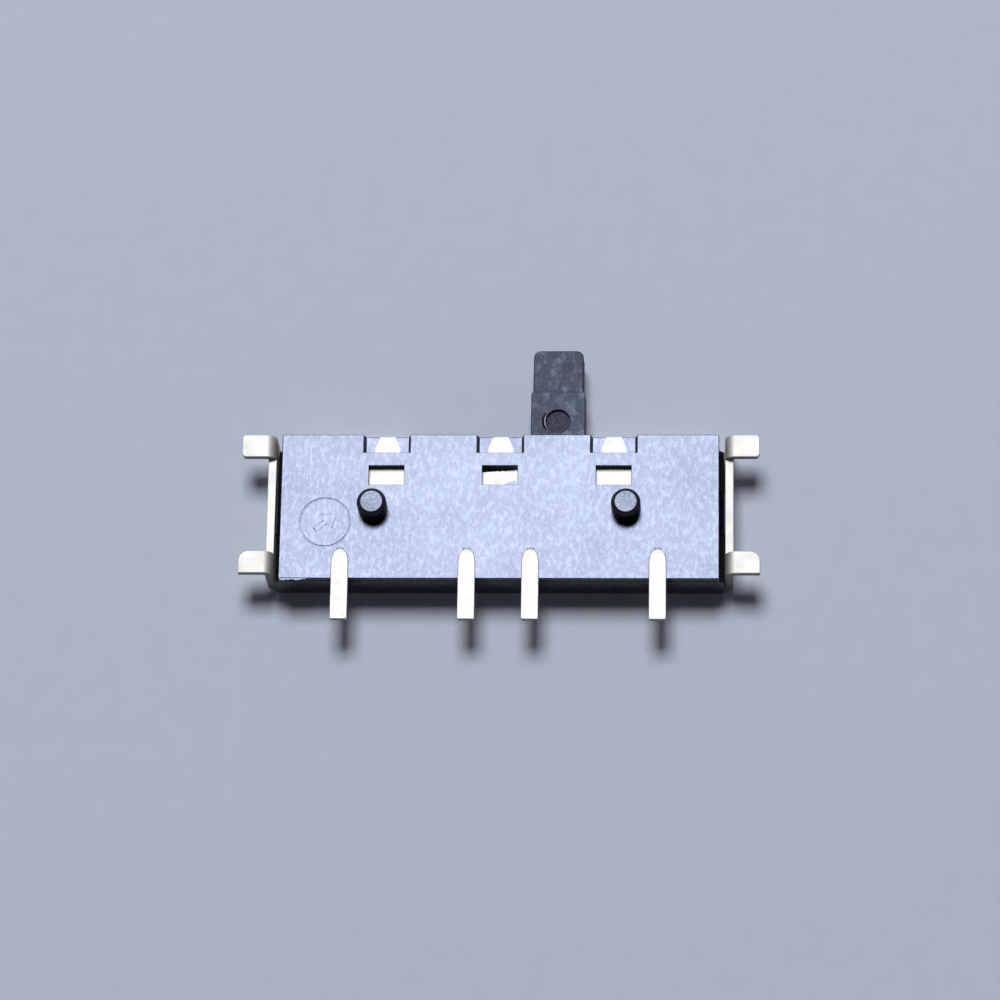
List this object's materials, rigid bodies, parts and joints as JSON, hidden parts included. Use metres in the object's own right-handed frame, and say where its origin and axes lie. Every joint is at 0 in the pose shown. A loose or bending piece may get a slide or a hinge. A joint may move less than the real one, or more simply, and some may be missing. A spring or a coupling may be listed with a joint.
{
  "type": "slide switch",
  "caption": "Low surface-mount slide switch: moulded base with locating pegs and flat solder terminals, a side handle that slides, and a bent metal cover with solder lugs.",
  "frame": {"origin": "on the cover's flat outer face, under the middle of the base's length and width; the switch lies on this face with its solder side up", "axes": "+X along the handle's travel, +Y from the terminals to the handle, +Z from the cover to the solder side"},
  "size_m": [0.0124, 0.0069, 0.0019],
  "materials": {
    "base_plastic": "black moulded high-temperature nylon, fine matt skin",
    "cover_sheet": "tin-plated sheet, smooth with a soft shine",
    "slider_plastic": "dark grey moulded nylon, matt",
    "contact_spring": "thin spring bronze, bright",
    "lead_frame": "tin-plated stamped strip, bright"
  },
  "bodies": {
    "housing": {"base": "base_plastic", "cover": "cover_sheet", "terminal_common": "lead_frame", "terminal_throw_1": "lead_frame", "terminal_throw_2": "lead_frame", "terminal_throw_3": "lead_frame"},
    "actuator": {"slider": "slider_plastic", "moving_contact": "contact_spring"}
  },
  "joints": [
    {"name": "handle_slide", "type": "slide", "parent": "housing", "child": "actuator", "axis": [1, 0, 0], "range_m": [-0.0027, 0]}
  ]
}
